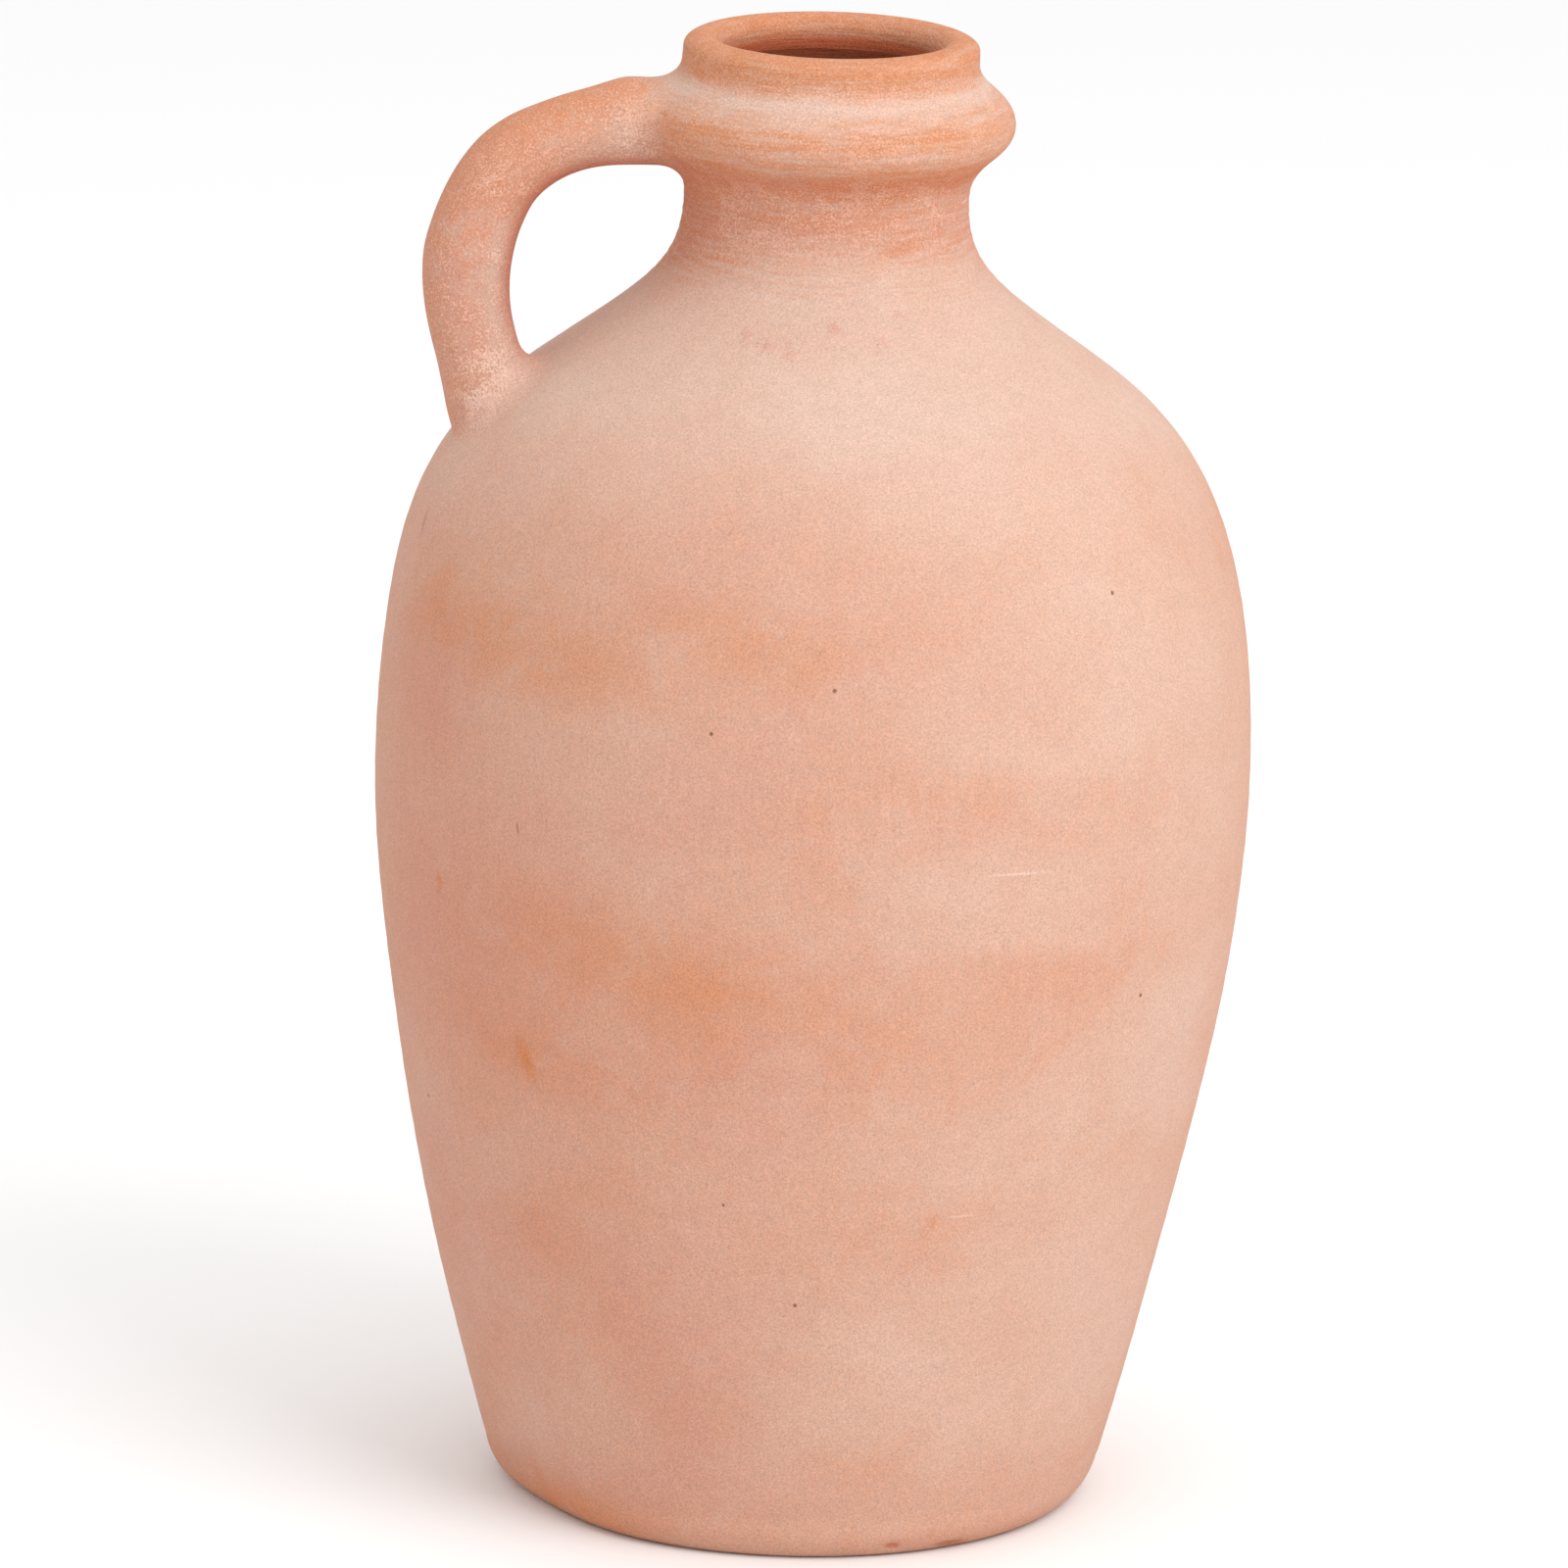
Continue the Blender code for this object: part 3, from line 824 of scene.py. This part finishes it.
def handle_pieces():
    side = full_turn(HANDLE_AROUND)[0]
    meeting = crossing(side, 0.0, 0.35)
    up_handle = fillet_run(side, UPPER_RUN_ON_HANDLE)
    over_wall = fillet_run(side, UPPER_RUN_ON_WALL)
    leave_upper, upper = luting("handle_upper_luting", side, meeting, 1, up_handle, over_wall)
    meeting = crossing(side, 1.0, 0.60)
    run = fillet_run(side, LOWER_RUN)
    leave_lower, lower = luting("handle_lower_luting", side, meeting, -1, run, run)
    t = np.linspace(0, 1, HANDLE_ROWS + 1)[:, None]
    share = leave_upper * (1 - t) + leave_lower * t
    around = side[None] + 0 * share
    points = handle_point(share, around)
    points = np.concatenate([drawn_in(points[:1]), points, drawn_in(points[-1:])])
    share = np.concatenate([share[:1], share, share[-1:]])
    around = np.concatenate([around[:1], around, around[-1:]])
    faces = tube_faces(len(points), HANDLE_AROUND)
    paint = handle_paint(share, around)
    handle = add_piece("handle", points, faces, paint, (0, 1, -2, -1), False)
    return [handle, upper, lower]


# The clay's colours, as linear red, green and blue.
PEACH = (0.575, 0.330, 0.243)
ORANGE = (0.560, 0.232, 0.118)
ROSE = (0.550, 0.262, 0.192)
PALE = (0.605, 0.420, 0.336)
SALT = (0.700, 0.505, 0.425)
# The tint of painted shade: inside the jug, down the mouth, under the collar and round the handle.
SHADE_TINT = (0.480, 0.120, 0.054)
CRUMB = (0.560, 0.250, 0.190)
GRIT = (0.420, 0.150, 0.085)
DIRT = (0.150, 0.060, 0.035)
SMUDGE = (0.540, 0.200, 0.080)

# Scratches, nicks and smudges: where and how large, as spot() takes them, with tint and share.
LONG_MARKS = (
    ((28.0, 0.1722, 7.2, 0.30, -1.5, 0.8), SALT, 0.62),
    ((24.5, 0.0883, 3.6, 0.25, 0.0, 0.7), SALT, 0.45),
    ((-40.7, 0.1763, 0.35, 1.5, 12.0, 0.5), GRIT, 0.80),
    ((-41.0, 0.1204, 1.9, 4.4, 22.0, 0.8), SMUDGE, 0.85),
    ((-56.7, 0.1576, 1.2, 2.0, 10.0, 0.8), SMUDGE, 0.60),
    ((-74.5, 0.2365, 0.5, 3.0, 14.0, 0.6), GRIT, 0.60),
    ((75.0, 0.3131, 2.6, 0.30, 0.0, 0.5), SALT, 0.80),
    ((-24.0, 0.3110, 11.0, 0.25, -8.0, 0.6), GRIT, 0.35),
    ((29.4, 0.3050, 4.5, 1.3, 4.0, 0.8), SMUDGE, 0.45),
    ((20.0, 0.0870, 0.5, 1.4, 0.0, 0.6), SMUDGE, 0.50),
    ((118.0, 0.190, 5.0, 0.30, 15.0, 0.6), SALT, 0.60),
    ((-130.0, 0.130, 0.4, 5.0, 30.0, 0.6), SALT, 0.55),
)


class Graph:
    """Short names for the shader nodes used here."""

    def __init__(self, name):
        self.material = bpy.data.materials.new(name)
        self.material.use_nodes = True
        self.nodes = self.material.node_tree.nodes
        self.links = self.material.node_tree.links
        self.shader = self.nodes["Principled BSDF"]
        self.position = self.nodes.new("ShaderNodeTexCoord").outputs["Object"]

    def put(self, value, socket):
        if isinstance(value, bpy.types.NodeSocket):
            self.links.new(value, socket)
        else:
            socket.default_value = value

    def math(self, operation, a, b=0.0, clamp=False):
        node = self.nodes.new("ShaderNodeMath")
        node.operation = operation
        node.use_clamp = clamp
        self.put(a, node.inputs[0])
        self.put(b, node.inputs[1])
        return node.outputs[0]

    def scaled(self, color, factor):
        node = self.nodes.new("ShaderNodeVectorMath")
        node.operation = "SCALE"
        self.links.new(color, node.inputs[0])
        self.links.new(factor, node.inputs["Scale"])
        return node.outputs["Vector"]

    def spot(self, around, height, half_across, half_up, tilt=0.0, soft=0.5):
        """1 inside a small ellipse on the wall and 0 outside; sizes in mm, angles in degrees."""
        angle = FRONT + math.radians(around)
        out = Vector((math.cos(angle), math.sin(angle), 0))
        along = Vector((-math.sin(angle), math.cos(angle), 0))
        lean = Matrix.Rotation(math.radians(tilt), 3, out)
        axes = Matrix((lean @ along, lean @ Vector((0, 0, 1)), out)).transposed()
        node = self.nodes.new("ShaderNodeMapping")
        node.vector_type = "TEXTURE"
        centre = out * float(outer_radius(height))
        node.inputs["Location"].default_value = (centre.x, centre.y, height)
        node.inputs["Rotation"].default_value = axes.to_euler()
        node.inputs["Scale"].default_value = (half_across / 1000, half_up / 1000, 0.02)
        self.links.new(self.position, node.inputs["Vector"])
        length = self.nodes.new("ShaderNodeVectorMath")
        length.operation = "LENGTH"
        self.links.new(node.outputs["Vector"], length.inputs[0])
        return self.spread(length.outputs["Value"], 1 + soft, 1 - soft)

    def crumbs(self, mottle):
        """1 in the grains of each crumb of stuck clay, and 0 elsewhere."""
        total = 0.0
        for around, height, half in CRUMBS:
            blot = self.spot(around, height, 1.2 * half, half, 20, 0.9)
            total = self.math("MAXIMUM", blot, total)
        return self.math("MULTIPLY", total, self.spread(mottle, -0.08, 0.08))

    def placed_marks(self, color):
        for around, height, half in PINHOLES:
            color = self.mix(self.share_of(self.spot(around, height, half, half), 0.8), color, DIRT)
        for around, height, half_around, half_up in CHIPS:
            half = 1000 * math.radians(half_around) * FOOT_TOP[1]
            chip = self.spot(around, height, 0.8 * half, 900 * half_up, -4)
            color = self.mix(self.share_of(chip, 0.8), color, GRIT)
        for spot, tint, share in LONG_MARKS:
            color = self.mix(self.share_of(self.spot(*spot), share), color, tint)
        return color

    def share_of(self, value, share):
        return self.math("MULTIPLY", value, share)

    def total(self, name, *parts):
        """A painted value plus each part times its weight, clamped to 0..1."""
        base = self.attribute(name)
        for part, weight in parts:
            base = self.math("ADD", base, self.math("MULTIPLY", part, weight))
        return self.math("ADD", base, 0.0, clamp=True)

    def attribute(self, name):
        node = self.nodes.new("ShaderNodeAttribute")
        node.attribute_name = name
        return node.outputs["Fac"]

    def noise(self, scale, detail, roughness, distortion, stretch, offset):
        """A noise field that averages 0."""
        mapping = self.nodes.new("ShaderNodeMapping")
        mapping.inputs["Scale"].default_value = [scale * s for s in stretch]
        mapping.inputs["Location"].default_value = (offset, offset * 0.7, offset * 1.3)
        self.links.new(self.position, mapping.inputs["Vector"])
        node = self.nodes.new("ShaderNodeTexNoise")
        node.inputs["Scale"].default_value = 1.0
        node.inputs["Detail"].default_value = detail
        node.inputs["Roughness"].default_value = roughness
        node.inputs["Distortion"].default_value = distortion
        self.links.new(mapping.outputs["Vector"], node.inputs["Vector"])
        return self.math("SUBTRACT", node.outputs["Fac"], 0.5)

    def spread(self, value, low, high):
        """value mapped so that low becomes 0 and high becomes 1, and clamped."""
        node = self.nodes.new("ShaderNodeMapRange")
        node.interpolation_type = "SMOOTHSTEP"
        node.inputs["From Min"].default_value = low
        node.inputs["From Max"].default_value = high
        self.links.new(value, node.inputs["Value"])
        return node.outputs["Result"]

    def mix(self, share, a, b):
        node = self.nodes.new("ShaderNodeMix")
        node.data_type = "RGBA"
        self.put(share, node.inputs["Factor"])
        self.put((*a, 1.0) if isinstance(a, tuple) else a, node.inputs["A"])
        self.put((*b, 1.0) if isinstance(b, tuple) else b, node.inputs["B"])
        return node.outputs["Result"]

    def bump(self, height, distance, normal=None):
        node = self.nodes.new("ShaderNodeBump")
        node.inputs["Strength"].default_value = 1.0
        node.inputs["Distance"].default_value = distance
        self.links.new(height, node.inputs["Height"])
        if normal is not None:
            self.links.new(normal, node.inputs["Normal"])
        return node.outputs["Normal"]


# The clay's noises: scale, detail, roughness, distortion, stretch along X, Y and Z, and offset.
CLOUDS = (15, 4, 0.55, 0.5, (1, 1, 1.5), 0.0)
WISPS = (60, 4, 0.6, 0.6, (1, 1, 1.2), 3.1)
BLUSH = (24, 3, 0.6, 0.4, (1, 1, 1.3), 12.3)
MOTTLE = (300, 2.5, 0.62, 0.0, (1, 1, 1), 9.4)
DRAGS = (800, 1, 0.6, 0.0, (1, 1, 0.07), 7.7)
TURNED = (900, 3, 0.6, 0.1, (0.08, 0.08, 1), 1.9)
GRAIN = (2100, 1, 0.5, 0.0, (1, 1, 1), 5.2)


def clay(name):
    """Unglazed earthenware: cloudy orange, pink and pale clay, turning streaks and sandy grain."""
    g = Graph(name)
    sand = g.attribute("sand")
    streak = g.attribute("streak")
    clouds = g.noise(*CLOUDS)
    wisps = g.noise(*WISPS)
    blush = g.noise(*BLUSH)
    mottle = g.noise(*MOTTLE)
    drags = g.noise(*DRAGS)
    turned = g.noise(*TURNED)
    grain = g.noise(*GRAIN)
    line = g.math("MULTIPLY", turned, streak)
    rough = g.math("MULTIPLY", mottle, g.math("ADD", g.math("MULTIPLY", sand, 1.3), 0.4))

    warmth = g.total("warm", (clouds, 0.42), (wisps, 0.60), (drags, 0.32), (line, 1.35), (rough, 0.9))
    pink = g.total("rose", (blush, 1.0), (wisps, -0.3), (drags, 0.3))
    bloom = g.total("pale", (clouds, -0.5), (wisps, -0.6), (line, -1.2), (rough, -0.7))
    color = g.mix(warmth, PEACH, ORANGE)
    color = g.mix(pink, color, ROSE)
    color = g.mix(bloom, color, PALE)
    crust = g.math("ADD", g.math("MULTIPLY", wisps, 1.5), g.math("ADD", grain, mottle))
    salted = g.math("MULTIPLY", g.spread(crust, -0.08, 0.26), g.attribute("salt"))
    color = g.mix(salted, color, SALT)
    specks = g.math("MULTIPLY", g.spread(grain, 0.04, 0.30), g.math("MULTIPLY", sand, 0.35))
    color = g.mix(specks, color, SALT)
    crumbs = g.crumbs(mottle)
    color = g.mix(g.share_of(crumbs, 0.42), color, CRUMB)
    color = g.placed_marks(color)
    # Painted shade: its attribute turns the clay towards the shade tint, and darkens it beyond half
    # way.
    painted_shade = g.math("MULTIPLY", g.attribute("painted_shade"), 2.0)
    color = g.mix(g.math("ADD", painted_shade, 0.0, clamp=True), color, SHADE_TINT)
    gloom = g.math("SUBTRACT", painted_shade, 1.0, clamp=True)
    color = g.scaled(color, g.math("SUBTRACT", 1.0, g.math("MULTIPLY", gloom, 0.65)))
    depth = g.math("SUBTRACT", 0.64, g.math("MULTIPLY", sand, 0.05))
    shade = g.math("ADD", grain, g.math("MULTIPLY", mottle, 0.28))
    color = g.scaled(color, g.math("ADD", 1.0, g.math("MULTIPLY", shade, depth)))
    g.links.new(color, g.shader.inputs["Base Color"])

    roughness = g.math("ADD", 0.92, g.math("MULTIPLY", grain, 0.16))
    g.links.new(roughness, g.shader.inputs["Roughness"])
    g.shader.inputs["Specular IOR Level"].default_value = 0.1
    normal = g.bump(grain, 0.00012)
    normal = g.bump(g.math("MULTIPLY", mottle, g.math("ADD", sand, 0.40)), 0.0004, normal)
    normal = g.bump(line, 0.0003, normal)
    normal = g.bump(crumbs, 0.0002, normal)
    g.links.new(normal, g.shader.inputs["Normal"])
    return g.material


def build_jug():
    pieces = [slab_piece(), lower_wall_piece()]
    for node, low, high in zip(WALL_NAMES, WALL_SEAMS, WALL_SEAMS[1:]):
        pieces.append(wall_piece(node, low, high))
    pieces += [neck_piece(), collar_piece(), lip_piece()]
    pieces += handle_pieces()
    material = clay("terracotta")
    for piece in pieces:
        piece.data.materials.append(material)


def add_floor():
    bpy.ops.mesh.primitive_plane_add(size=FLOOR_SIZE, location=(0, 0, FLOOR_LEVEL))
    floor = bpy.context.object
    floor.name = "studio_floor"
    material = bpy.data.materials.new("studio_white")
    material.use_nodes = True
    shader = material.node_tree.nodes["Principled BSDF"]
    shader.inputs["Base Color"].default_value = FLOOR_WHITE
    shader.inputs["Roughness"].default_value = 0.9
    floor.data.materials.append(material)


def add_light(name, around, elevation, distance, size, power):
    """A square soft box that looks at the jug's middle, around degrees from the front."""
    direction = FRONT + math.radians(around)
    rise = math.radians(elevation)
    target = Vector((0, 0, LIT_HEIGHT))
    flat = distance * math.cos(rise)
    place = target + Vector((flat * math.cos(direction), flat * math.sin(direction), 0))
    place.z += distance * math.sin(rise)
    lamp = bpy.data.lights.new(name, "AREA")
    lamp.size = size
    lamp.energy = power
    light = bpy.data.objects.new(name, lamp)
    light.location = place
    light.rotation_euler = (target - place).to_track_quat("-Z", "Y").to_euler()
    bpy.context.scene.collection.objects.link(light)


def add_lighting():
    world = bpy.data.worlds.new("studio")
    bpy.context.scene.world = world
    world.use_nodes = True
    background = world.node_tree.nodes["Background"]
    background.inputs["Color"].default_value = (1, 1, 1, 1)
    background.inputs["Strength"].default_value = AMBIENT_STRENGTH
    for softbox in SOFTBOXES:
        add_light(*softbox)


def add_camera():
    facing = Vector((math.cos(FRONT), math.sin(FRONT), 0))
    right = Vector((-math.sin(FRONT), math.cos(FRONT), 0))
    place = facing * CAMERA_DISTANCE + Vector((0, 0, CAMERA_HEIGHT))
    aim = right * AIM_SIDEWAYS + Vector((0, 0, AIM_HEIGHT))
    forward = (aim - place).normalized()
    side = forward.cross(Vector((0, 0, 1))).normalized()
    up = side.cross(forward)
    cosine, sine = math.cos(CAMERA_ROLL), math.sin(CAMERA_ROLL)
    x_axis = side * cosine + up * sine
    y_axis = up * cosine - side * sine
    turned = Matrix((x_axis, y_axis, -forward)).transposed()
    lens = bpy.data.cameras.new("camera")
    lens.sensor_width = SENSOR_WIDTH
    lens.lens = CAMERA_LENS
    lens.clip_end = 100
    camera = bpy.data.objects.new("camera", lens)
    camera.matrix_world = Matrix.Translation(place) @ turned.to_4x4()
    bpy.context.scene.collection.objects.link(camera)
    bpy.context.scene.camera = camera


build_jug()
add_floor()
add_lighting()
add_camera()
bpy.context.scene.view_settings.view_transform = "Standard"
